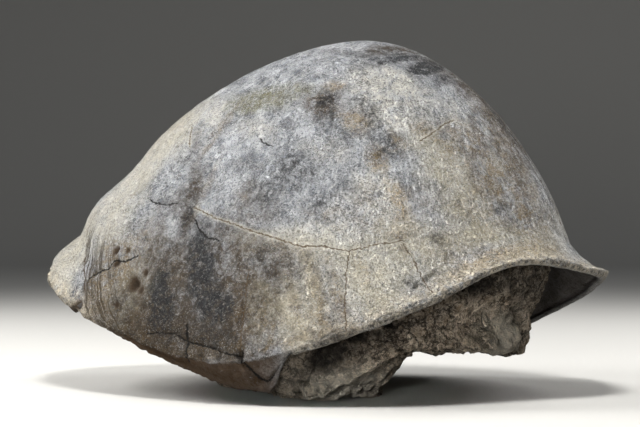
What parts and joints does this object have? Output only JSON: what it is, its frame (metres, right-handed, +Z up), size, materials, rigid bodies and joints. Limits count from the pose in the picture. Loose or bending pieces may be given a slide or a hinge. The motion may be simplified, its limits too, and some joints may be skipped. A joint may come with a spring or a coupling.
{
  "type": "fossil turtle shell",
  "caption": "Domed fossil shell of a giant tortoise, flared at both ends and turned in along the sides, filled with hardened sand that it rests on.",
  "frame": {"origin": "middle of the shell's outline seen from above, on the surface that it rests on", "axes": "+X along the shell towards the tail end, +Y towards the animal's right side, +Z up"},
  "size_m": [0.94, 0.7008, 0.551],
  "materials": {
    "fossil_bone": "dry weathered fossil bone, cream to cool grey, with fine pores and hairline cracks",
    "hard_sand": "broken face of hardened sandy sediment, brown grey and dull"
  },
  "bodies": {
    "root": {"carapace": "fossil_bone", "matrix": "hard_sand"}
  },
  "joints": []
}
